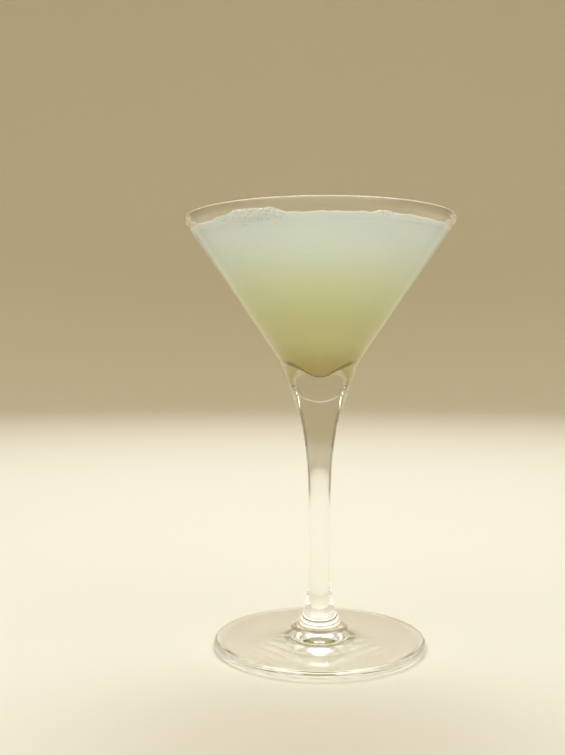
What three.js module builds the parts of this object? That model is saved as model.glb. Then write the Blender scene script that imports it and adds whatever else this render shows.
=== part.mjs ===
// A shaken daiquiri served straight up in a stemmed cocktail glass.
// Millimetres, +Z up. The origin is the centre of the ring that the foot rests on, and the front is -Y.
import * as THREE from "three";

// Outside of the glass
const GLASS_HEIGHT = 164;
const RIM_RADIUS = 51.7;
const BOWL_TOP = 161; // where the cone of the bowl ends and the wall turns upright to the rim
const BOWL_RADIUS = 50.8; // at the top of the cone
const BOWL_SLOPE = 0.692; // run outwards for each millimetre of rise
const BOWL_END_HEIGHT = 108.9; // where the cone of the bowl runs into the drawn stem
const STEM_RADIUS = 4.05;
const STEM_WAIST_LOW = 32;
const STEM_WAIST_HIGH = 42;
const STEM_TAPER_SLOPE = 0.352; // of the stem where it meets the bowl
const STEM_TAPER_PULL = 23.3; // how far the top of the taper keeps that slope
const STEM_WAIST_PULL = 38.9; // how far the slim part runs on up into the taper
const SHOULDER_SOFTNESS = 3.2; // height over which the corner between stem and bowl is eased

// Foot
const FOOT_RADIUS = 40.8;
const FOOT_EDGE = 3.2; // thickness of the rounded edge
const FOOT_HOLLOW_RADIUS = 37;
const FOOT_HOLLOW_HEIGHT = 2;
const FLARE_RADIUS = 11.2;
const FLARE_HEIGHT = 7;
const FLARE_PULL = new THREE.Vector2(-7.6, 3.1); // how the top of the foot sweeps in to the stem
const FLARE_WAIST_PULL = 3; // how far down the stem stays straight

// Inside of the bowl
const RIM_WALL = 1;
const BOWL_WALL = 0.87; // measured across at the top of the cone
const INSIDE_SLOPE = 0.731; // wider than the outside, so the wall thickens downwards
const THICKENING_HEIGHT = 132; // below it the inside turns in to the solid bottom
const TIP_HEIGHT = 105;
const TIP_RADIUS = 2.8; // half width of the rounded tip
const TIP_SLOPE = 0.9; // rise for each millimetre outwards of the inside just above the tip

// Contents
const LIQUID_LEVEL = 157.4;
const FOAM_LEVEL = 158.9;
const CLEARANCE = 0.3; // between contents and glass, and between liquid and foam
const MENISCUS_RISE = 0.5;
const MENISCUS_WIDTH = 3.5;
const RIPPLE = 0.12; // unevenness of the middle of the foam

// Clumps of foam against the wall: angles in degrees from the front towards +X, the rest in millimetres
const FOAM_CLUMPS = [
  { at: -27, half: 15, soft: 8, reach: 9, rise: 1.55 },
  { at: 26.5, half: 7, soft: 5, reach: 5, rise: 0.6 },
  { at: 39, half: 5, soft: 4, reach: 4, rise: 0.3 },
  { at: 104, half: 13, soft: 8, reach: 6, rise: 0.5 },
  { at: 162, half: 18, soft: 9, reach: 8, rise: 1.0 },
  { at: -138, half: 10, soft: 7, reach: 5, rise: 0.5 },
  { at: -88, half: 9, soft: 6, reach: 4, rise: 0.4 },
];

// Facets
const GLASS_SIDES = 64;
const FOAM_SIDES = 96;
const FOAM_RINGS = [1, 0.985, 0.965, 0.935, 0.89, 0.8, 0.6, 0.3, 0];

const point = (radius, height) => new THREE.Vector2(radius, height);

// A round stretch of an outline, by its centre, radius and end angles in degrees.
function arc(centre, radius, fromDegrees, toDegrees, steps) {
  const from = THREE.MathUtils.degToRad(fromDegrees);
  const to = THREE.MathUtils.degToRad(toDegrees);
  const clockwise = to < from;
  return new THREE.EllipseCurve(centre.x, centre.y, radius, radius, from, to, clockwise).getPoints(steps);
}

const bend = (start, corner, end, steps) => new THREE.QuadraticBezierCurve(start, corner, end).getPoints(steps);

const sweep = (start, pullA, pullB, end, steps) =>
  new THREE.CubicBezierCurve(start, pullA, pullB, end).getPoints(steps);

// Stretches laid end to end, with the points that two of them share kept once.
function outline(...stretches) {
  const points = stretches.flat();
  return points.filter((p, i) => i === 0 || p.distanceTo(points[i - 1]) > 1e-6);
}

// A solid of revolution about +Z from an outline that starts and ends on the axis.
function turned(points, sides) {
  const geometry = new THREE.LatheGeometry(points, sides);
  geometry.rotateX(Math.PI / 2);
  return geometry;
}

const LIP_RADIUS = RIM_WALL / 2;
const LIP_CENTRE = point(RIM_RADIUS - LIP_RADIUS, GLASS_HEIGHT - LIP_RADIUS);

const outsideRadius = (height) => BOWL_RADIUS - (BOWL_TOP - height) * BOWL_SLOPE;

const insideRadius = (height) => BOWL_RADIUS - BOWL_WALL - (BOWL_TOP - height) * INSIDE_SLOPE;

// The turn from a cone to the upright side of the lip.
function rimTurn(coneRadius, slope, lipRadius) {
  const corner = point(lipRadius, BOWL_TOP + (lipRadius - coneRadius) / slope);
  return bend(point(coneRadius, BOWL_TOP), corner, point(lipRadius, LIP_CENTRE.y), 3);
}

// Inside of the bowl from the axis up to the height where the wall is straight:
// a rounded tip, a blunt V, and a bend up into the wall.
function bowlBottom() {
  const tip = point(0, TIP_HEIGHT);
  const vStart = point(TIP_RADIUS, TIP_HEIGHT + (TIP_RADIUS * TIP_SLOPE) / 2);
  const wall = point(insideRadius(THICKENING_HEIGHT), THICKENING_HEIGHT);
  const rise = wall.y - vStart.y - (wall.x - vStart.x) / INSIDE_SLOPE;
  const cornerRun = rise / (TIP_SLOPE - 1 / INSIDE_SLOPE);
  const corner = point(vStart.x + cornerRun, vStart.y + cornerRun * TIP_SLOPE);
  return outline(bend(tip, point(TIP_RADIUS / 2, TIP_HEIGHT), vStart, 3), bend(vStart, corner, wall, 7));
}

function glassGeometry() {
  const edgeRadius = FOOT_EDGE / 2;
  const edgeCentre = point(FOOT_RADIUS - edgeRadius, edgeRadius);
  const flare = point(FLARE_RADIUS, FLARE_HEIGHT);
  const waistLow = point(STEM_RADIUS, STEM_WAIST_LOW);
  const waistHigh = point(STEM_RADIUS, STEM_WAIST_HIGH);
  const corner = point(outsideRadius(BOWL_END_HEIGHT), BOWL_END_HEIGHT);
  const taperTop = point(corner.x - SHOULDER_SOFTNESS * STEM_TAPER_SLOPE, corner.y - SHOULDER_SOFTNESS);
  const bowlStart = point(outsideRadius(corner.y + SHOULDER_SOFTNESS), corner.y + SHOULDER_SOFTNESS);

  const hollow = bend(
    point(0, FOOT_HOLLOW_HEIGHT),
    point(FOOT_HOLLOW_RADIUS / 2, FOOT_HOLLOW_HEIGHT),
    point(FOOT_HOLLOW_RADIUS, 0),
    4,
  );
  const edge = arc(edgeCentre, edgeRadius, -90, 80, 6);
  const stemBase = sweep(
    flare,
    flare.clone().add(FLARE_PULL),
    point(STEM_RADIUS, STEM_WAIST_LOW - FLARE_WAIST_PULL),
    waistLow,
    8,
  );
  const taper = sweep(
    waistHigh,
    point(STEM_RADIUS, STEM_WAIST_HIGH + STEM_WAIST_PULL),
    point(corner.x - STEM_TAPER_PULL * STEM_TAPER_SLOPE, corner.y - STEM_TAPER_PULL),
    taperTop,
    8,
  );
  const shoulder = bend(taperTop, corner, bowlStart, 3);
  const rimOutside = rimTurn(outsideRadius(BOWL_TOP), BOWL_SLOPE, RIM_RADIUS);
  const lip = arc(LIP_CENTRE, LIP_RADIUS, 0, 180, 4);
  const rimInside = rimTurn(insideRadius(BOWL_TOP), INSIDE_SLOPE, RIM_RADIUS - RIM_WALL).reverse();
  const inside = bowlBottom().reverse();
  const bowl = [...shoulder, ...rimOutside, ...lip, ...rimInside, ...inside];
  return turned(outline(hollow, edge, stemBase, taper, bowl), GLASS_SIDES);
}

// The liquid is the inside of the bowl raised clear of the wall, cut off at its level.
function liquidGeometry() {
  const lift = CLEARANCE * Math.hypot(1, INSIDE_SLOPE) / INSIDE_SLOPE;
  const raised = bowlBottom().map((p) => point(p.x, p.y + lift));
  const brim = point(insideRadius(LIQUID_LEVEL - lift), LIQUID_LEVEL);
  return turned(outline(raised, [brim, point(0, LIQUID_LEVEL)]), GLASS_SIDES);
}

const smooth = (t) => THREE.MathUtils.smoothstep(t, 0, 1);

// Height of the foam above its level: a meniscus and clumps at the wall, and a slight ripple over the middle.
function foamRelief(x, y, wallRadius) {
  const radius = Math.hypot(x, y);
  const inward = wallRadius - radius;
  const degrees = THREE.MathUtils.radToDeg(Math.atan2(x, -y));
  let rise = MENISCUS_RISE * smooth(1 - inward / MENISCUS_WIDTH);
  for (const clump of FOAM_CLUMPS) {
    const away = Math.abs(THREE.MathUtils.euclideanModulo(degrees - clump.at + 180, 360) - 180);
    rise += clump.rise * smooth((clump.half - away) / clump.soft) * smooth(1 - inward / clump.reach);
  }
  return rise + RIPPLE * Math.sin(x / 7) * Math.cos(y / 9);
}

// The foam is a thin disc that follows the wall, with its upper face raised by the relief.
function foamGeometry() {
  const base = LIQUID_LEVEL + CLEARANCE;
  const gap = CLEARANCE * Math.hypot(1, INSIDE_SLOPE);
  const wallRadius = insideRadius(FOAM_LEVEL) - gap;
  const rings = FOAM_RINGS.map((share) => point(share * wallRadius, FOAM_LEVEL));
  const geometry = turned(
    outline([point(0, base), point(insideRadius(base) - gap, base)], rings),
    FOAM_SIDES,
  );
  const vertices = geometry.attributes.position;
  const middle = (base + FOAM_LEVEL) / 2;
  for (let i = 0; i < vertices.count; i += 1) {
    if (vertices.getZ(i) > middle) {
      vertices.setZ(i, FOAM_LEVEL + foamRelief(vertices.getX(i), vertices.getY(i), wallRadius));
    }
  }
  return geometry;
}

function piece(name, geometry, color, roughness) {
  const mesh = new THREE.Mesh(geometry, new THREE.MeshStandardMaterial({ color, roughness, metalness: 0 }));
  mesh.name = name;
  return mesh;
}

const daiquiri = new THREE.Group();
daiquiri.add(piece("glass", glassGeometry(), 0xdfe5df, 0.05));
daiquiri.add(piece("drink", liquidGeometry(), 0xc6c49a, 0.3));
daiquiri.add(piece("foam", foamGeometry(), 0xdadccb, 0.6));

export default daiquiri;
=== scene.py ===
"""A shaken daiquiri in a stemmed cocktail glass: clear glass, cloudy drink, fine foam and its bubbles.

Metres, +Z up, the front is -Y. Angles round the glass run from the front towards +X.
"""

import math
from collections import namedtuple

import bpy
import numpy as np
from mathutils import Euler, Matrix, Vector


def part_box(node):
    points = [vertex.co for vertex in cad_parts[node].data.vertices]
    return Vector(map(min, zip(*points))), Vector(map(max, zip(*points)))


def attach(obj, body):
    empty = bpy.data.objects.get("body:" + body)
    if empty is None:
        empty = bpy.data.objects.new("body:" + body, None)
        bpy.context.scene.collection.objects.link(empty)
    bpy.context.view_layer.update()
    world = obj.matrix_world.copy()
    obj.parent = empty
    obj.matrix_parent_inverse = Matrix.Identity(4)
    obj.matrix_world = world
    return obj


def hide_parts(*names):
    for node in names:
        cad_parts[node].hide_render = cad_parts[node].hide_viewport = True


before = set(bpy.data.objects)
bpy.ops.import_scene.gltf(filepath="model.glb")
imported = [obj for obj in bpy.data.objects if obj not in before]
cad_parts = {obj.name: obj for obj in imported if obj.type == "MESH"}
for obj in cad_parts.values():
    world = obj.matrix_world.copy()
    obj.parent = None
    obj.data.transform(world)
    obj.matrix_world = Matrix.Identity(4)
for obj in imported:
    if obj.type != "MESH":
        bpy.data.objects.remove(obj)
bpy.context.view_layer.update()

MM = 0.001

# Outside of the glass
GLASS_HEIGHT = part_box("glass")[1].z
RIM_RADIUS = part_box("glass")[1].x
BOWL_TOP = 161 * MM  # where the cone of the bowl ends and turns upright to the rim
BOWL_RADIUS = 50.8 * MM  # at the top of the cone
BOWL_SLOPE = 0.692  # run outwards for each rise
BOWL_END_HEIGHT = 108.9 * MM  # where the cone of the bowl runs into the drawn stem
SHOULDER_SOFTNESS = 3.2 * MM  # height over which that corner is eased
STEM_RADIUS = 4.05 * MM
STEM_WAIST_LOW = 32 * MM
STEM_WAIST_HIGH = 42 * MM
STEM_TAPER_SLOPE = 0.352  # of the stem where it meets the bowl
STEM_TAPER_PULL = 23.3 * MM  # how far the top of the taper keeps that slope
STEM_WAIST_PULL = 38.9 * MM  # how far the slim part runs on up into the taper

# Foot
FOOT_RADIUS = 40.8 * MM
FOOT_EDGE = 3.2 * MM  # thickness of the rounded edge
FOOT_EDGE_TURN = (-90, 80)  # degrees between which the edge is round
FOOT_HOLLOW_RADIUS = 37 * MM
FOOT_HOLLOW_HEIGHT = 2 * MM
FLARE = np.array((11.2, 7.0)) * MM  # radius and height where the top of the foot starts to rise
FLARE_PULL = np.array((-7.6, 3.1)) * MM  # how it sweeps in to the stem
FLARE_WAIST_PULL = 3 * MM  # how far down the stem stays straight

# Inside of the bowl
RIM_WALL = 1 * MM
BOWL_WALL = 0.87 * MM  # measured across at the top of the cone
INSIDE_SLOPE = 0.731  # wider than the outside, so the wall thickens downwards
WALL_STRETCH = math.hypot(1, INSIDE_SLOPE)  # level distance for each distance square to the wall
THICKENING_HEIGHT = 132 * MM  # below it the inside turns in to the solid bottom
TIP_HEIGHT = 105 * MM
TIP_RADIUS = 2.8 * MM  # half width of the rounded tip
TIP_SLOPE = 0.9  # rise for each run outwards just above the tip
LIP_RADIUS = RIM_WALL / 2
LIP_CENTRE = np.array((RIM_RADIUS - LIP_RADIUS, GLASS_HEIGHT - LIP_RADIUS))

# Join of stem and bowl inside the glass
SEAM_HEIGHT = 94.9 * MM
SEAM_RADIUS = 8.0 * MM
SEAM_CURVE = 0.085 / MM  # rise for each square of the radius
SEAM_GAP = 0.08 * MM
SEAM_STEPS = 47

# Contents
LIQUID_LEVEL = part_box("drink")[1].z
FOAM_LEVEL = 158.9 * MM
INTO_WALL = 0.12 * MM  # how far the contents reach into the glass, so that no air shows between them
MENISCUS_RISE = 0.5 * MM
MENISCUS_WIDTH = 3.5 * MM
RIPPLE = 0.12 * MM
RIPPLE_LENGTHS = (7 * MM, 9 * MM)  # across and along, for each radian

# Clumps of foam at the wall: angle, half width and softness in degrees, then reach and rise
Clump = namedtuple("Clump", "at half soft reach rise")
FOAM_CLUMPS = (
    Clump(-27, 15, 8, 9 * MM, 1.55 * MM),
    Clump(26.5, 7, 5, 5 * MM, 0.6 * MM),
    Clump(39, 5, 4, 4 * MM, 0.3 * MM),
    Clump(104, 13, 8, 6 * MM, 0.5 * MM),
    Clump(162, 18, 9, 8 * MM, 1.0 * MM),
    Clump(-138, 10, 7, 5 * MM, 0.5 * MM),
    Clump(-88, 9, 6, 4 * MM, 0.4 * MM),
    Clump(-42, 11, 10, 6 * MM, 0.6 * MM),
)
CLUMP_RISES = np.array([clump.rise for clump in FOAM_CLUMPS])
TALLEST_RISE = max(clump.rise for clump in FOAM_CLUMPS)

# Unevenness of the foam's edge at the wall: waves round the glass, their rise and their start
EDGE_WAVES = ((23, 0.09 * MM, 1.0), (41, 0.07 * MM, 2.3), (67, 0.05 * MM, 0.4))
EDGE_WAVE_WIDTH = 2 * MM

# The foam's mesh and the shares that its points carry
FOAM_SIDES = 360
FOAM_TOP_ROWS = 90
FOAM_SIDE_ROWS = 12
FOAM_CROWDING = 0.7  # power that draws the rows of the top outwards
RIM_LINE = 0.5 * MM  # depth of the white line at the foam's edge
RIM_LINE_END = 1.5  # depths of the line at which it has faded
FROTH_FADE = 3.2 * MM  # depth below the edge at which the froth's cells have faded

# Bubbles, with radii from small to large. A power above 1 draws most values near the first limit.
BUBBLE_SEED = 7
BUBBLE_SIDES = 8
BUBBLE_BANDS = 4
BUBBLE_LIFT = 0.2  # how far a centre stands over the foam, in radii
BUBBLE_TONE_POWER = 0.7  # below 1, so that most are pale
HEAP_BUBBLES = 1.6  # for each degree of half width and millimetre of reach of a clump
HEAP_RADII = (0.1 * MM, 0.44 * MM)
HEAP_RADIUS_POWER = 2.2
HEAP_WIDTH = 0.9  # share of the clump's half width
HEAP_REACH = 0.8  # share of the clump's reach
HEAP_REACH_POWER = 1.7
LINE_BUBBLES = 320
LINE_RADII = (0.08 * MM, 0.2 * MM)
LINE_RADIUS_POWER = 2.0
DRIFT_BUBBLES = 420
DRIFT_RADII = (0.07 * MM, 0.2 * MM)
DRIFT_RADIUS_POWER = 2.0
DRIFT_ARMS = 3
DRIFT_TURN = 2.4  # radians from one end of an arm to the other
DRIFT_SPREAD = 0.22  # radians to either side of it
DRIFT_START = 0.06  # shares of the radius, in from the wall
DRIFT_LENGTH = 0.82
FROTH_BUBBLES = 22  # against the wall under the tallest clump, for each degree of its half width
FROTH_RADII = (0.14 * MM, 0.36 * MM)
FROTH_RADIUS_POWER = 1.8
FROTH_WIDTH = 0.85  # share of the clump's half width
FROTH_DEPTH = 4.2 * MM  # under the tallest clump
FROTH_DEPTH_POWER = 1.6
FROTH_LEAN = 0.5  # share by which it is deeper at the clump's left and shallower at its right
FROTH_PROUD = 0.2 * MM  # how far the froth's bubbles press past the drink into the wall
FROTH_LEAST_PRESS = 0.4  # share of that which every one of them has

# Steps along the outlines, and sides of the round pieces
HOLLOW_STEPS = 24
REST_STEPS = 8
EDGE_STEPS = 24
FOOT_STEPS = 24
FLARE_STEPS = 40
WAIST_STEPS = 6
TAPER_STEPS = 60
SHOULDER_STEPS = 14
BOWL_STEPS = 24
RIM_STEPS = 16
LIP_STEPS = 24
V_STEPS = 60
TIP_STEPS = 14
LEVEL_STEPS = 6
SAME_POINT = 1e-9  # a step no longer than this joins two stretches
GLASS_SIDES = 192
CONTENTS_SIDES = 192
CREASE = math.radians(60)  # a sharper corner stays an edge

# Camera, from the photograph's frame of 565 by 755 pixels
IMAGE_WIDTH = 565
IMAGE_HEIGHT = 755
FOCAL_PIXELS = 889
HORIZON_PIXEL = 358.3
AXIS_PIXEL = 319.7
CAMERA_DISTANCE = 343 * MM
CAMERA_HEIGHT = 110.7 * MM

# Stage
FLOOR_GAP = 0.3 * MM  # the film of air under the foot
FLOOR_RADIUS = 1.6
FLOOR_STEPS = 8
BACKDROP_BEND = 0.8
BACKDROP_BEND_STEPS = 16
BACKDROP_TOP = 1.35
BACKDROP_STEPS = 4
STAGE_SIDES = 96


def arc(centre, radius, start, end, steps):
    """Points of a circle round centre from the start to the end angle, in degrees."""
    angle = np.radians(np.linspace(start, end, steps + 1))
    return np.asarray(centre) + radius * np.column_stack((np.cos(angle), np.sin(angle)))


def straight(start, end, steps):
    """Points of a straight line, crowded towards both ends by a cosine."""
    share = (1 - np.cos(np.linspace(0, math.pi, steps + 1)))[:, None] / 2
    return np.asarray(start) * (1 - share) + np.asarray(end) * share


def bend(start, corner, end, steps):
    """A quadratic Bezier curve from start to end that leaves and arrives towards the corner."""
    t = np.linspace(0, 1, steps + 1)[:, None]
    return (1 - t) ** 2 * start + 2 * t * (1 - t) * np.asarray(corner) + t**2 * end


def sweep(start, pull_a, pull_b, end, steps):
    """A cubic Bezier curve with two pulls."""
    t = np.linspace(0, 1, steps + 1)[:, None]
    near = (1 - t) ** 3 * start + 3 * t * (1 - t) ** 2 * np.asarray(pull_a)
    return near + 3 * t**2 * (1 - t) * np.asarray(pull_b) + t**3 * end


def outline(*stretches):
    """Stretches laid end to end, with the points that two of them share kept once."""
    points = np.concatenate(stretches)
    step = np.linalg.norm(np.diff(points, axis=0), axis=1)
    return points[np.concatenate(([True], step > SAME_POINT))]


def outside_radius(height):
    """Radius of the cone outside the bowl."""
    return BOWL_RADIUS - (BOWL_TOP - height) * BOWL_SLOPE


def inside_radius(height):
    """Radius of the cone inside the bowl."""
    return BOWL_RADIUS - BOWL_WALL - (BOWL_TOP - height) * INSIDE_SLOPE


def wall_reach(height):
    """Radius of what touches the wall: the inside of the bowl, and a little into the glass."""
    return inside_radius(height) + INTO_WALL * WALL_STRETCH


def rim_turn(cone_radius, slope, lip_radius):
    """The turn from a cone to the upright side of the lip, a bend round the corner of the two."""
    start = np.array((cone_radius, BOWL_TOP))
    corner = (lip_radius, BOWL_TOP + (lip_radius - cone_radius) / slope)
    return bend(start, corner, np.array((lip_radius, LIP_CENTRE[1])), RIM_STEPS)


def bowl_bottom():
    """Inside of the bowl, from the axis to its straight wall: a rounded tip, a blunt V and a bend."""
    tip = np.array((0, TIP_HEIGHT))
    v_start = np.array((TIP_RADIUS, TIP_HEIGHT + TIP_RADIUS * TIP_SLOPE / 2))
    wall = np.array((inside_radius(THICKENING_HEIGHT), THICKENING_HEIGHT))
    rise = wall[1] - v_start[1] - (wall[0] - v_start[0]) / INSIDE_SLOPE
    run = rise / (TIP_SLOPE - 1 / INSIDE_SLOPE)
    corner = v_start + np.array((run, run * TIP_SLOPE))
    rounded = bend(tip, (TIP_RADIUS / 2, TIP_HEIGHT), v_start, TIP_STEPS)
    return outline(rounded, bend(v_start, corner, wall, V_STEPS))


def glass_outline():
    """The glass cut in half: under the foot, up the stem and bowl, over the lip and down inside."""
    edge_radius = FOOT_EDGE / 2
    edge_centre = np.array((FOOT_RADIUS - edge_radius, edge_radius))
    waist_low = np.array((STEM_RADIUS, STEM_WAIST_LOW))
    waist_high = np.array((STEM_RADIUS, STEM_WAIST_HIGH))
    corner = np.array((outside_radius(BOWL_END_HEIGHT), BOWL_END_HEIGHT))
    taper_way = np.array((STEM_TAPER_SLOPE, 1))
    taper_top = corner - SHOULDER_SOFTNESS * taper_way
    taper_pull = corner - STEM_TAPER_PULL * taper_way
    bowl_start = corner + SHOULDER_SOFTNESS * np.array((BOWL_SLOPE, 1))
    hollow_top = np.array((0, FOOT_HOLLOW_HEIGHT))
    hollow_corner = (FOOT_HOLLOW_RADIUS / 2, FOOT_HOLLOW_HEIGHT)
    hollow_end = np.array((FOOT_HOLLOW_RADIUS, 0))
    low_pull = waist_low - (0, FLARE_WAIST_PULL)
    high_pull = waist_high + (0, STEM_WAIST_PULL)

    edge = arc(edge_centre, edge_radius, *FOOT_EDGE_TURN, EDGE_STEPS)
    rim_outside = rim_turn(outside_radius(BOWL_TOP), BOWL_SLOPE, RIM_RADIUS)
    rim_inside = rim_turn(inside_radius(BOWL_TOP), INSIDE_SLOPE, RIM_RADIUS - RIM_WALL)[::-1]
    inside = bowl_bottom()[::-1]
    return outline(
        bend(hollow_top, hollow_corner, hollow_end, HOLLOW_STEPS),
        straight(hollow_end, edge[0], REST_STEPS),
        edge,
        straight(edge[-1], FLARE, FOOT_STEPS),
        sweep(FLARE, FLARE + FLARE_PULL, low_pull, waist_low, FLARE_STEPS),
        straight(waist_low, waist_high, WAIST_STEPS),
        sweep(waist_high, high_pull, taper_pull, taper_top, TAPER_STEPS),
        bend(taper_top, corner, bowl_start, SHOULDER_STEPS),
        straight(bowl_start, rim_outside[0], BOWL_STEPS),
        rim_outside,
        arc(LIP_CENTRE, LIP_RADIUS, 0, 180, LIP_STEPS),
        rim_inside,
        straight(rim_inside[-1], inside[0], BOWL_STEPS),
        inside,
    )


def smooth(t):
    """A step from 0 to 1 with level ends, 3 t^2 - 2 t^3."""
    t = np.clip(t, 0, 1)
    return t * t * (3 - 2 * t)


def clump_shape(angle, inward):
    """Shares of each clump's rise by angle and distance in from the wall: two smooth steps, stacked."""
    degrees = np.degrees(angle)
    shares = []
    for clump in FOAM_CLUMPS:
        away = np.abs((degrees - clump.at + 180) % 360 - 180)
        shares.append(smooth((clump.half - away) / clump.soft) * smooth(1 - inward / clump.reach))
    return np.stack(shares)


def foam_relief(radius, angle, wall_radius):
    """Height of the foam over its level: meniscus, clumps and edge waves at the wall, and a ripple.

    The ripple is the product of a wave across and a wave along.
    """
    inward = wall_radius - radius
    x = radius * np.sin(angle)
    y = -radius * np.cos(angle)
    rise = MENISCUS_RISE * smooth(1 - inward / MENISCUS_WIDTH)
    rise = rise + np.tensordot(CLUMP_RISES, clump_shape(angle, inward), 1)
    for waves, height, start in EDGE_WAVES:
        rise = rise + height * np.sin(waves * angle + start) * smooth(1 - inward / EDGE_WAVE_WIDTH)
    across, along = RIPPLE_LENGTHS
    return rise + RIPPLE * np.sin(x / across) * np.cos(y / along)


def edge_height(angle):
    """Height of the foam's edge at the wall."""
    wall = inside_radius(FOAM_LEVEL)
    return FOAM_LEVEL + foam_relief(np.full_like(angle, wall), angle, wall)


def froth_share(angle, inward):
    """How frothy the foam is: the largest share of a clump there, weighted by the root of its rise."""
    weights = np.sqrt(CLUMP_RISES / TALLEST_RISE).reshape(-1, 1, 1)
    return (clump_shape(angle, inward) * weights).max(axis=0)


def round_angles(sides):
    """Even angles round the glass."""
    return np.linspace(0, 2 * math.pi, sides, endpoint=False)


def round_grid(radius, height, angle):
    """Points (r sin a, -r cos a, z) for every outline row and every angle round +Z."""
    radius, height, angle = np.broadcast_arrays(radius, height, angle)
    return np.stack((radius * np.sin(angle), -radius * np.cos(angle), height), axis=-1)


def ring_quads(rings, sides, first):
    """Faces between neighbouring rings of points, counted from the first ring's first point."""
    here = np.arange(sides)
    following = (here + 1) % sides
    start = first + sides * np.arange(rings - 1)[:, None]
    corners = (start + here, start + following, start + sides + following, start + sides + here)
    return np.stack(corners, axis=-1).reshape(-1, 4)


def fan(pole, first, sides):
    """Faces between a pole and the ring next to it, which starts at the first point."""
    here = np.arange(sides)
    following = (here + 1) % sides
    return np.column_stack((np.full(sides, pole), first + here, first + following))


def flipped(faces):
    """The same faces turned round, each with its first corner kept."""
    return np.roll(faces[:, ::-1], 1, axis=1)


def new_piece(name, points, faces):
    """A smooth mesh object at the origin with its place in its mesh."""
    mesh = bpy.data.meshes.new(name)
    mesh.from_pydata(points, [], faces, shade_flat=False)
    mesh.set_sharp_from_angle(angle=CREASE)
    mesh.update()
    piece = bpy.data.objects.new(name, mesh)
    bpy.context.scene.collection.objects.link(piece)
    return piece


def turned_piece(name, grid):
    """A closed piece from rows of points round +Z, the first and last of them single points on the axis."""
    rows, sides = grid.shape[:2]
    points = np.concatenate((grid[0, :1], grid[1:-1].reshape(-1, 3), grid[-1, :1]))
    last = len(points) - 1
    quads = ring_quads(rows - 2, sides, 1)
    first_fan = flipped(fan(0, 1, sides))
    last_fan = fan(last, last - sides, sides)
    return new_piece(name, points, quads.tolist() + first_fan.tolist() + last_fan.tolist())


def round_piece(name, profile, sides):
    """A closed piece from an outline of (radius, height) carried round +Z."""
    return turned_piece(name, round_grid(profile[:, :1], profile[:, 1:], round_angles(sides)))


def set_values(piece, name, values):
    """One value for each point of a piece."""
    attribute = piece.data.attributes.new(name, "FLOAT", "POINT")
    attribute.data.foreach_set("value", values.astype(np.float32))


def set_share(piece, name, rings):
    """Values for a turned piece: 0 at its first point, its rings, the last ring's mean at its last."""
    set_values(piece, name, np.concatenate(([0.0], rings.ravel(), [rings[-1].mean()])))


class Tree:
    """The node tree of a material, lamp or world, with one method that adds any node."""

    def __init__(self, owner):
        owner.use_nodes = True
        self.owner = owner
        self.nodes = owner.node_tree.nodes
        self.links = owner.node_tree.links
        self.nodes.clear()

    def add(self, kind, settings=None, inputs=None, output=0):
        """A node of one kind, its settings, then its sockets by name or number; gives one output."""
        node = self.nodes.new(kind)
        for key, value in (settings or {}).items():
            setattr(node, key, value)
        for key, value in (inputs or {}).items():
            if isinstance(value, Value):
                self.links.new(value.socket, node.inputs[key])
            else:
                node.inputs[key].default_value = value
        return Value(self, node.outputs[output])

    def place(self):
        """Where the surface is, in metres from the origin."""
        return self.add("ShaderNodeTexCoord", output="Object")

    def along(self, place, axis):
        """One coordinate of a place: X, Y or Z."""
        return self.add("ShaderNodeSeparateXYZ", None, {0: place}, axis)

    def share(self, name):
        """A value that the points of the piece carry."""
        return self.add("ShaderNodeAttribute", {"attribute_name": name}, output="Fac")

    def ramp(self, share, stops):
        """A colour ramp over a share from 0 to 1, with stops of (place, colour)."""
        value = self.add("ShaderNodeValToRGB", None, {0: share})
        elements = value.socket.node.color_ramp.elements
        for place, colour in stops[1:-1]:
            elements.new(place).color = colour
        for number in (0, -1):
            elements[number].position, elements[number].color = stops[number]
        return value

    def blend(self, factor, first, second):
        """A colour between two, by a factor from 0 to 1. The sockets are the Mix node's for colours."""
        inputs = {0: factor, 6: first, 7: second}
        return self.add("ShaderNodeMix", {"data_type": "RGBA"}, inputs, output=2)

    def noise(self, place, scale, detail=2.0, roughness=0.5):
        """A noise value from about 0 to 1 at a place."""
        inputs = {"Vector": place, "Scale": scale, "Detail": detail, "Roughness": roughness}
        return self.add("ShaderNodeTexNoise", None, inputs)

    def cells(self, place, scale):
        """Distance from the middle of the nearest of many cells."""
        return self.add("ShaderNodeTexVoronoi", None, {"Vector": place, "Scale": scale})

    def bump(self, height, strength, distance):
        """A normal tilted by a height that changes over the surface."""
        inputs = {"Strength": strength, "Distance": distance, "Height": height}
        return self.add("ShaderNodeBump", None, inputs)

    def surface(self, inputs):
        """A principled surface."""
        return self.add("ShaderNodeBsdfPrincipled", None, inputs)

    def finish(self, shader, output="ShaderNodeOutputMaterial"):
        """Joins a shader to the output and gives the tree's owner."""
        self.links.new(shader.socket, self.nodes.new(output).inputs["Surface"])
        return self.owner


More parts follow.
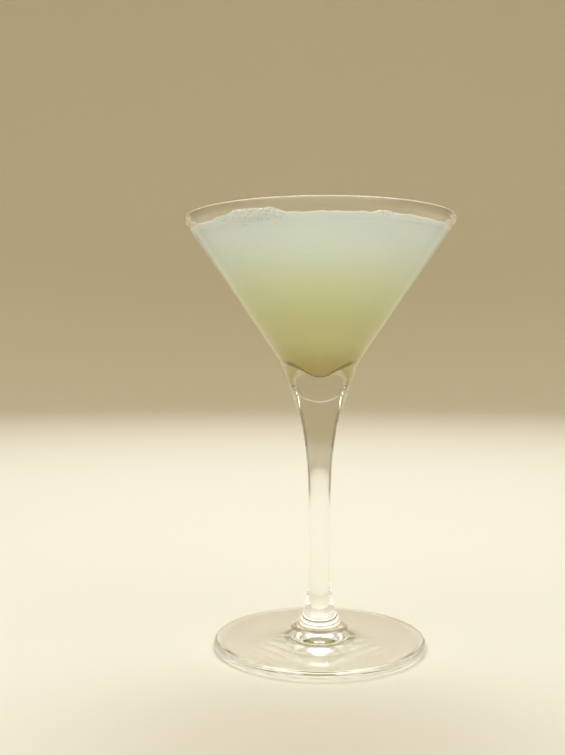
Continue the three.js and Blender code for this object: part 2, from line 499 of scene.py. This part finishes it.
class Value:
    """One output socket of a tree. Python's operators on it add Math nodes."""

    def __init__(self, tree, socket):
        self.tree = tree
        self.socket = socket

    def math(self, operation, *terms):
        """A Math node on values and numbers."""
        return self.tree.add("ShaderNodeMath", {"operation": operation}, dict(enumerate(terms)))

    def __add__(self, other):
        return self.math("ADD", self, other)

    def __sub__(self, other):
        return self.math("SUBTRACT", self, other)

    def __rsub__(self, other):
        return self.math("SUBTRACT", other, self)

    def __mul__(self, other):
        return self.math("MULTIPLY", self, other)

    def __truediv__(self, other):
        return self.math("DIVIDE", self, other)

    def __rtruediv__(self, other):
        return self.math("DIVIDE", other, self)

    __radd__ = __add__
    __rmul__ = __mul__

    def __abs__(self):
        return self.math("ABSOLUTE", self)

    def at_least(self, other):
        """The larger of two values."""
        return self.math("MAXIMUM", self, other)

    def eased(self, low, high):
        """A smooth step from 0 at low to 1 at high."""
        inputs = {"Value": self, "From Min": low, "From Max": high}
        return self.tree.add("ShaderNodeMapRange", {"interpolation_type": "SMOOTHSTEP"}, inputs)


def new_finish(name):
    """The empty tree of a new material."""
    return Tree(bpy.data.materials.new(name))


def linear(red, green, blue):
    """A linear colour with full cover, from its 0 to 255 screen values by the sRGB curve."""
    share = np.array((red, green, blue)) / 255
    light = np.where(share > 0.04045, ((share + 0.055) / 1.055) ** 2.4, share / 12.92)
    return (*light.tolist(), 1)


GLASS_IOR = 1.5
GLASS_TINT = (0.998, 1.0, 0.997, 1)
STREAKS_START = (12 * MM, 30 * MM)  # heights between which the streaks begin
STREAKS_END = (100 * MM, 112 * MM)
STREAK_SCALE = (900, 900, 25)  # fine round the stem and long up it
STREAK_STRENGTH = 0.09
STREAK_DEPTH = 0.2 * MM


def clear_glass():
    """Polished glass with the faint upright streaks of a drawn stem, none on the foot and the bowl."""
    tree = new_finish("clear_glass")
    place = tree.place()
    height = tree.along(place, "Z")
    drawn = height.eased(*STREAKS_START) * (1 - height.eased(*STREAKS_END))
    stretched = tree.add("ShaderNodeMapping", None, {"Vector": place, "Scale": STREAK_SCALE})
    streaks = tree.noise(stretched, 1.0) * drawn
    inputs = {
        "Base Color": GLASS_TINT,
        "Roughness": 0.0,
        "IOR": GLASS_IOR,
        "Transmission Weight": 1.0,
        "Normal": tree.bump(streaks, STREAK_STRENGTH, STREAK_DEPTH),
    }
    return tree.finish(tree.surface(inputs))


SEAM_IOR = 1.18  # against the glass round it
SEAM_TINT = (1, 1, 1, 1)


def seam_skin():
    """The faintly mirroring skin where two gathers of glass were joined."""
    tree = new_finish("seam_skin")
    inputs = {"Base Color": SEAM_TINT, "Roughness": 0.0, "IOR": SEAM_IOR, "Transmission Weight": 1.0}
    return tree.finish(tree.surface(inputs))


# Colours of the drink by height in millimetres: its own colour, with painted light that makes it brighter
# and whiter towards the top
DRINK_STOPS = (
    (105, linear(158, 143, 95)),
    (110.5, linear(176, 163, 103)),
    (118, linear(208, 204, 151)),
    (128, linear(218, 220, 175)),
    (138.5, linear(228, 231, 203)),
    (147, linear(232, 238, 228)),
    (154, linear(233, 239, 234)),
    (160, linear(225, 230, 228)),
)
SWIRL_SCALE = 60.0
SWIRL_DETAIL = 3.0
SWIRL_REACH = 2 * MM


def drink_colour(tree, place):
    """The cloudy drink by height, with a slight swirl: yellow-green at the tip, whitish under the foam. The
    whitening upwards is partly the drink's own colour and partly painted light, the glow of light from
    above spread down through the cloudy drink.
    """
    low = DRINK_STOPS[0][0] * MM
    high = DRINK_STOPS[-1][0] * MM
    swirl = (tree.noise(place, SWIRL_SCALE, SWIRL_DETAIL) - 0.5) * SWIRL_REACH
    share = (tree.along(place, "Z") + swirl - low) / (high - low)
    stops = [((at * MM - low) / (high - low), colour) for at, colour in DRINK_STOPS]
    return tree.ramp(share, stops)


DRINK_IOR = 1.345
DRINK_ROUGHNESS = 0.4
MIRROR_FADE = (110.3 * MM, 113 * MM)  # heights between which the painted dark reflection at the tip fades
# The grazing reflection at the tip is tinted this dark olive: a painted dark reflection.
PAINTED_DARK_MIRROR = (0.26, 0.2, 0.05, 1)
MIRROR_ROUGHNESS = 0.05


def cloudy_drink():
    """Cloudy liquid against glass: its colour, and low down a grazing reflection tinted dark olive, a
    painted dark reflection.
    """
    tree = new_finish("cloudy_drink")
    place = tree.place()
    colour = drink_colour(tree, place)
    body = tree.surface({"Base Color": colour, "Roughness": DRINK_ROUGHNESS, "Specular IOR Level": 0.0})
    near_tip = 1 - tree.along(place, "Z").eased(*MIRROR_FADE)
    grazing = tree.add("ShaderNodeFresnel", None, {"IOR": DRINK_IOR / GLASS_IOR}) * near_tip
    gloss = {"Color": PAINTED_DARK_MIRROR, "Roughness": MIRROR_ROUGHNESS}
    mirror = tree.add("ShaderNodeBsdfGlossy", None, gloss)
    return tree.finish(tree.add("ShaderNodeMixShader", None, {0: grazing, 1: body, 2: mirror}))


FOAM_RIM = linear(246, 243, 234)
FOAM_FROTH = linear(252, 252, 246)
# Painted shade in the pits between the froth's cells.
FOAM_PIT_SHADE = linear(204, 209, 194)
# Painted shade over the top of the foam, darkening it where the light from above falls strongly.
FOAM_TOP_SHADE = linear(178, 173, 132)
FOAM_TOP_SHADE_SHARE = 0.4  # share of the painted shade on the top, which is lit strongly from above
FOAM_ROUGHNESS = 0.25
FROTH_ROUGHNESS = 0.25  # added where the foam is frothy
FOAM_COAT = 0.7
FOAM_COAT_ROUGHNESS = 0.25
PATCH_SCALE = 70.0
PATCH_DETAIL = 4.0
PATCH_ROUGHNESS = 0.6
PATCH_EDGE = (0.45, 0.68)  # noise values between which a patch of froth begins
PATCH_FROTH = 0.6  # how frothy a patch is
FINE_CELLS = 1700.0
FINE_PITS = (0.35, 0.75)  # distances between which a cell's edge darkens, painted shade in the pits between cells
FINE_PIT_SHARE = 0.6
COARSE_CELLS = 800.0
COARSE_PITS = (0.4, 0.8)
COARSE_PIT_SHARE = 0.5
COARSE_CELL_HEIGHT = 0.7
CELL_STRENGTH = 0.5
CELL_DEPTH = 0.25 * MM


def white_foam():
    """Foam: milky between patches of froth, whitest in a line at the wall, with cells, painted shade in the
    pits between them, and painted shade over the top.
    """
    tree = new_finish("white_foam")
    place = tree.place()
    upper = tree.share("upper")
    patches = tree.noise(place, PATCH_SCALE, PATCH_DETAIL, PATCH_ROUGHNESS).eased(*PATCH_EDGE) * upper
    frothy = tree.share("froth").at_least(patches * PATCH_FROTH)
    fine = tree.cells(place, FINE_CELLS)
    coarse = tree.cells(place, COARSE_CELLS)
    fine_pit_shade = fine.eased(*FINE_PITS) * FINE_PIT_SHARE
    coarse_pit_shade = coarse.eased(*COARSE_PITS) * COARSE_PIT_SHARE
    milky = tree.blend(frothy, drink_colour(tree, place), FOAM_FROTH)
    # Painted shade in the pits between the froth's cells.
    pit_shaded = tree.blend((fine_pit_shade + coarse_pit_shade) * frothy, milky, FOAM_PIT_SHADE)
    # Painted shade over the top of the foam.
    shaded_top = tree.blend(upper * FOAM_TOP_SHADE_SHARE, pit_shaded, FOAM_TOP_SHADE)
    height = (1 - fine) * frothy + (1 - coarse) * (frothy * COARSE_CELL_HEIGHT)
    inputs = {
        "Base Color": tree.blend(tree.share("rim"), shaded_top, FOAM_RIM),
        "Roughness": FOAM_ROUGHNESS + frothy * FROTH_ROUGHNESS,
        "Specular IOR Level": 0.0,
        "Coat Weight": upper * FOAM_COAT,
        "Coat Roughness": FOAM_COAT_ROUGHNESS,
        "Normal": tree.bump(height, CELL_STRENGTH, CELL_DEPTH),
    }
    return tree.finish(tree.surface(inputs))


BUBBLE_DARK = linear(188, 195, 183)
BUBBLE_PALE = linear(255, 255, 252)
BUBBLE_ROUGHNESS = 0.12


def bubble_skin():
    """Wet bubbles, each of its own tone."""
    tree = new_finish("bubble_skin")
    colour = tree.blend(tree.share("tone"), BUBBLE_DARK, BUBBLE_PALE)
    return tree.finish(tree.surface({"Base Color": colour, "Roughness": BUBBLE_ROUGHNESS}))


def make_glass():
    """The outline of the glass carried round +Z."""
    piece = round_piece("cocktail_glass", glass_outline(), GLASS_SIDES)
    piece.data.materials.append(clear_glass())
    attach(piece, "root")
    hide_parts("glass")


def make_seam():
    """The join inside the glass: a thin shell that rises with the square of the radius."""
    radius = np.linspace(0, SEAM_RADIUS, SEAM_STEPS + 1)
    height = SEAM_HEIGHT + SEAM_CURVE * radius**2
    under = np.column_stack((radius, height))
    over = np.column_stack((radius, height + SEAM_GAP))[::-1]
    piece = round_piece("stem_seam", outline(under, over), GLASS_SIDES)
    piece.data.materials.append(seam_skin())
    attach(piece, "root")


def make_drink():
    """The inside of the bowl pushed just into the wall along its normals, up to where the foam begins."""
    bottom = bowl_bottom()
    way = np.gradient(bottom, axis=0)
    way = way / np.linalg.norm(way, axis=1)[:, None]
    pushed = bottom + INTO_WALL * np.column_stack((way[:, 1], -way[:, 0]))
    pushed[0] = (0, TIP_HEIGHT - INTO_WALL)
    brim = np.array((wall_reach(LIQUID_LEVEL), LIQUID_LEVEL))
    side = straight(pushed[-1], brim, BOWL_STEPS)
    level = straight(brim, (0, LIQUID_LEVEL), LEVEL_STEPS)
    piece = round_piece("daiquiri", outline(pushed, side, level), CONTENTS_SIDES)
    piece.data.materials.append(cloudy_drink())
    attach(piece, "root")
    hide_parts("drink")


def make_foam():
    """A disc that follows the wall up to the edge, and from there the foam relief over radius and angle."""
    angle = round_angles(FOAM_SIDES)[None]
    edge = edge_height(angle)
    rise = np.linspace(0, 1, FOAM_SIDE_ROWS)[:-1, None]
    side_height = LIQUID_LEVEL + rise * (edge - LIQUID_LEVEL)
    share = np.sin(np.linspace(math.pi / 2, 0, FOAM_TOP_ROWS))[:, None] ** FOAM_CROWDING
    wall = inside_radius(FOAM_LEVEL)
    top_height = FOAM_LEVEL + foam_relief(share * wall, angle, wall)
    top_radius = share * wall_reach(edge)
    centre = np.zeros((1, FOAM_SIDES))
    radius = np.concatenate((centre, wall_reach(side_height), top_radius))
    height = np.concatenate((centre + LIQUID_LEVEL, side_height, top_height))
    piece = turned_piece("foam_top", round_grid(radius, height, angle))

    inward = np.concatenate((np.zeros_like(side_height), wall - share * wall + np.zeros_like(angle)))
    depth = np.concatenate((edge - side_height, np.zeros_like(top_height)))
    set_share(piece, "rim", smooth(RIM_LINE_END - (inward + depth) / RIM_LINE)[:-1])
    set_share(piece, "upper", smooth(inward / RIM_LINE)[:-1])
    set_share(piece, "froth", (froth_share(angle, inward) * smooth(1 - depth / FROTH_FADE))[:-1])
    piece.data.materials.append(white_foam())
    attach(piece, "root")
    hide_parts("foam")


def bubble_balls(centres, radii):
    """Points and faces of many small balls, each a grid of bands round +Z with a pole at either end."""
    polar = np.linspace(0, math.pi, BUBBLE_BANDS + 1)[1:-1, None]
    turn = round_angles(BUBBLE_SIDES)
    x = np.sin(polar) * np.cos(turn)
    y = np.sin(polar) * np.sin(turn)
    z = np.broadcast_to(np.cos(polar), x.shape)
    rings = np.stack((x, y, z), axis=-1).reshape(-1, 3)
    unit = np.concatenate((((0, 0, 1),), rings, ((0, 0, -1),)))
    last = len(unit) - 1
    quads = flipped(ring_quads(BUBBLE_BANDS - 1, BUBBLE_SIDES, 1))
    top = fan(0, 1, BUBBLE_SIDES)
    bottom = flipped(fan(last, last - BUBBLE_SIDES, BUBBLE_SIDES))
    points = centres[:, None] + radii[:, None, None] * unit
    first = len(unit) * np.arange(len(centres))[:, None, None]
    faces = []
    for shape in (quads, top, bottom):
        faces += (first + shape).reshape(-1, shape.shape[1]).tolist()
    return points.reshape(-1, 3), faces


def spread(draw, count, limits, power):
    """Values between two limits, drawn so that most are near the first one."""
    low, high = limits
    return low + (high - low) * draw.random(count) ** power


def heap_in(draw, clump):
    """Angles, distances in from the wall and radii of the bubbles heaped in a clump."""
    count = round(HEAP_BUBBLES * clump.half * clump.reach / MM)
    across = draw.random(count) + draw.random(count) - 1
    angle = np.radians(clump.at + HEAP_WIDTH * clump.half * across)
    inward = spread(draw, count, (0, HEAP_REACH * clump.reach), HEAP_REACH_POWER)
    return angle, inward, spread(draw, count, HEAP_RADII, HEAP_RADIUS_POWER)


def line_at_wall(draw):
    """Angles, distances in from the wall and radii of a line of bubbles all round the wall."""
    angle = draw.random(LINE_BUBBLES) * 2 * math.pi
    return angle, np.zeros(LINE_BUBBLES), spread(draw, LINE_BUBBLES, LINE_RADII, LINE_RADIUS_POWER)


def drifts_over(draw, wall):
    """Angles, distances in from the wall and radii of bubbles in curved arms over the middle."""
    along = draw.random(DRIFT_BUBBLES)
    arm = 2 * math.pi / DRIFT_ARMS * draw.integers(0, DRIFT_ARMS, DRIFT_BUBBLES)
    angle = arm + DRIFT_TURN * along + DRIFT_SPREAD * draw.standard_normal(DRIFT_BUBBLES)
    inward = wall * (DRIFT_START + DRIFT_LENGTH * along)
    return angle, inward, spread(draw, DRIFT_BUBBLES, DRIFT_RADII, DRIFT_RADIUS_POWER)


def froth_under(draw, clump):
    """Angles, heights and radii of the froth against the wall under a clump, deepest at its left."""
    tallness = clump.rise / TALLEST_RISE
    count = round(FROTH_BUBBLES * clump.half * tallness)
    across = draw.random(count) + draw.random(count) - 1
    angle = np.radians(clump.at + FROTH_WIDTH * clump.half * across)
    deepest = FROTH_DEPTH * tallness * (1 - FROTH_LEAN * across)
    depth = deepest * draw.random(count) ** FROTH_DEPTH_POWER
    return angle, edge_height(angle) - depth, spread(draw, count, FROTH_RADII, FROTH_RADIUS_POWER)


def joined(groups):
    """Groups of matching arrays, put together array by array."""
    return (np.concatenate(arrays) for arrays in zip(*groups))


def scatter_bubbles():
    """Centres, radii and tones of the bubbles on the foam, then of the froth pressed to the wall."""
    draw = np.random.default_rng(BUBBLE_SEED)
    wall = inside_radius(FOAM_LEVEL)
    heaps = [heap_in(draw, clump) for clump in FOAM_CLUMPS]
    angle, inward, radius = joined((*heaps, line_at_wall(draw), drifts_over(draw, wall)))
    inward = np.maximum(inward, radius * WALL_STRETCH - INTO_WALL)
    height = FOAM_LEVEL + foam_relief(wall - inward, angle, wall) + BUBBLE_LIFT * radius
    from_axis = inside_radius(height) - inward

    froth_angle, froth_height, froth_radius = joined([froth_under(draw, clump) for clump in FOAM_CLUMPS])
    pressed = FROTH_LEAST_PRESS + (1 - FROTH_LEAST_PRESS) * draw.random(len(froth_radius))
    proud = FROTH_PROUD * pressed - froth_radius
    froth_from_axis = wall_reach(froth_height) + proud * WALL_STRETCH

    on_foam = (from_axis, height, angle, radius)
    in_froth = (froth_from_axis, froth_height, froth_angle, froth_radius)
    from_axis, height, angle, radius = joined((on_foam, in_froth))
    tone = draw.random(len(radius)) ** BUBBLE_TONE_POWER
    return round_grid(from_axis, height, angle), radius, tone


def make_bubbles():
    """Small bubbles as balls sunk in the foam, each with its own tone."""
    centres, radii, tones = scatter_bubbles()
    points, faces = bubble_balls(centres, radii)
    piece = new_piece("foam_bubbles", points, faces)
    set_values(piece, "tone", np.repeat(tones, len(points) // len(radii)))
    piece.data.materials.append(bubble_skin())
    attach(piece, "root")


FLOOR_COLOUR = linear(236, 232, 221)
FLOOR_ROUGHNESS = 0.8
BACKDROP_COLOUR = linear(234, 227, 208)
BACKDROP_FADE = (0.5, 2.0)  # distances from the drink between which floor turns to backdrop
SIDE_COLOUR = linear(160, 152, 132)
SIDE_TURN = (0.55, 0.8)  # shares of sideways in the way from the drink between which the sides darken
SIDE_FADE = (0.3, 0.7)  # distances from the drink between which the sides darken


def pale_floor():
    """A pale floor that turns to a warmer backdrop with distance, darker at the sides for clear edges."""
    tree = new_finish("pale_floor")
    place = tree.place()
    away = tree.add("ShaderNodeVectorMath", {"operation": "LENGTH"}, {0: place}, "Value")
    aside = (abs(tree.along(place, "X")) / away).eased(*SIDE_TURN) * away.eased(*SIDE_FADE)
    plain = tree.blend(away.eased(*BACKDROP_FADE), FLOOR_COLOUR, BACKDROP_COLOUR)
    colour = tree.blend(aside, plain, SIDE_COLOUR)
    return tree.finish(tree.surface({"Base Color": colour, "Roughness": FLOOR_ROUGHNESS}))


def make_stage():
    """A level floor that sweeps up into a backdrop all round, an outline carried round +Z."""
    backdrop_radius = FLOOR_RADIUS + BACKDROP_BEND
    bend_height = BACKDROP_BEND - FLOOR_GAP
    profile = outline(
        straight((0, -FLOOR_GAP), (FLOOR_RADIUS, -FLOOR_GAP), FLOOR_STEPS),
        arc((FLOOR_RADIUS, bend_height), BACKDROP_BEND, -90, 0, BACKDROP_BEND_STEPS),
        straight((backdrop_radius, bend_height), (backdrop_radius, BACKDROP_TOP), BACKDROP_STEPS),
    )
    grid = round_grid(profile[:, :1], profile[:, 1:], round_angles(STAGE_SIDES))
    quads = flipped(ring_quads(len(grid), STAGE_SIDES, 0))
    piece = new_piece("studio_floor", grid.reshape(-1, 3), quads.tolist())
    piece.data.materials.append(pale_floor())


LAMP_COLOUR = (0.92, 0.97, 1.0)
LAMP_TARGET = (0, 0, 0.12)
LAMP_GLOW = 36  # one over the mean of u (1 - u) v (1 - v)
ROOM_COLOUR = (0.5, 0.415, 0.25, 1)
GLASS_BOUNCES = 40  # how often light may turn inside the thick edges of the glass

# Lamps: turn from the front towards +X and rise, both in degrees, then distance, width, height, power
LAMPS = (
    ("left_panel", -28, 16, 1.2, 2.0, 0.8, 4.2),
    ("right_panel", 28, 16, 1.2, 2.0, 0.8, 4.2),
    ("left_lamp", -62, 57, 1.3, 1.2, 1.2, 1.6),
    ("right_lamp", 62, 57, 1.3, 1.2, 1.2, 1.6),
    ("back_lamp", 180, 60, 1.3, 1.6, 0.7, 11.8),
    ("left_strip", -129, 26.2, 1.2, 0.26, 0.05, 0.09),
    ("right_strip", 129, 26.2, 1.2, 0.26, 0.05, 0.09),
)


def area_light(name, turn, rise, distance, width, height, power):
    """A flat lamp that faces the drink, brightest in its middle: u (1 - u) v (1 - v) over its mean."""
    data = bpy.data.lights.new(name, "AREA")
    data.shape = "RECTANGLE"
    data.size = width
    data.size_y = height
    data.energy = power
    data.color = LAMP_COLOUR
    tree = Tree(data)
    across = tree.add("ShaderNodeNewGeometry", output="Parametric")
    u = tree.along(across, "X")
    v = tree.along(across, "Y")
    glow = u * (1 - u) * v * (1 - v) * LAMP_GLOW
    tree.finish(tree.add("ShaderNodeEmission", None, {"Strength": glow}), "ShaderNodeOutputLight")
    way = Euler((math.radians(-rise), 0, math.radians(turn))).to_matrix() @ Vector((0, -1, 0))
    light = bpy.data.objects.new(name, data)
    light.location = Vector(LAMP_TARGET) + distance * way
    light.rotation_euler = (-way).to_track_quat("-Z", "Y").to_euler()
    light.visible_camera = False
    bpy.context.scene.collection.objects.link(light)


def make_lights():
    """Broad low panels in front, three high lamps, a small strip behind each side, a dim warm room."""
    for lamp in LAMPS:
        area_light(*lamp)
    tree = Tree(bpy.data.worlds.new("studio"))
    room = tree.add("ShaderNodeBackground", None, {"Color": ROOM_COLOUR})
    scene = bpy.context.scene
    scene.world = tree.finish(room, "ShaderNodeOutputWorld")
    scene.view_settings.view_transform = "Standard"
    scene.cycles.blur_glossy = 0.0
    scene.cycles.max_bounces = GLASS_BOUNCES
    scene.cycles.transmission_bounces = GLASS_BOUNCES
    scene.cycles.glossy_bounces = GLASS_BOUNCES


def make_camera():
    """In front at the solved distance and height, turned so that axis and horizon fall on their pixels."""
    data = bpy.data.cameras.new("camera")
    data.lens = data.sensor_width * FOCAL_PIXELS / IMAGE_HEIGHT
    camera = bpy.data.objects.new("camera", data)
    camera.location = (0, -CAMERA_DISTANCE, CAMERA_HEIGHT)
    pitch = math.atan((HORIZON_PIXEL - IMAGE_HEIGHT / 2) / FOCAL_PIXELS)
    yaw = math.atan((AXIS_PIXEL - IMAGE_WIDTH / 2) / FOCAL_PIXELS)
    camera.rotation_euler = Euler((math.pi / 2 + pitch, 0, yaw))
    bpy.context.scene.collection.objects.link(camera)
    bpy.context.scene.camera = camera


make_camera()
make_glass()
make_seam()
make_drink()
make_foam()
make_bubbles()
make_stage()
make_lights()
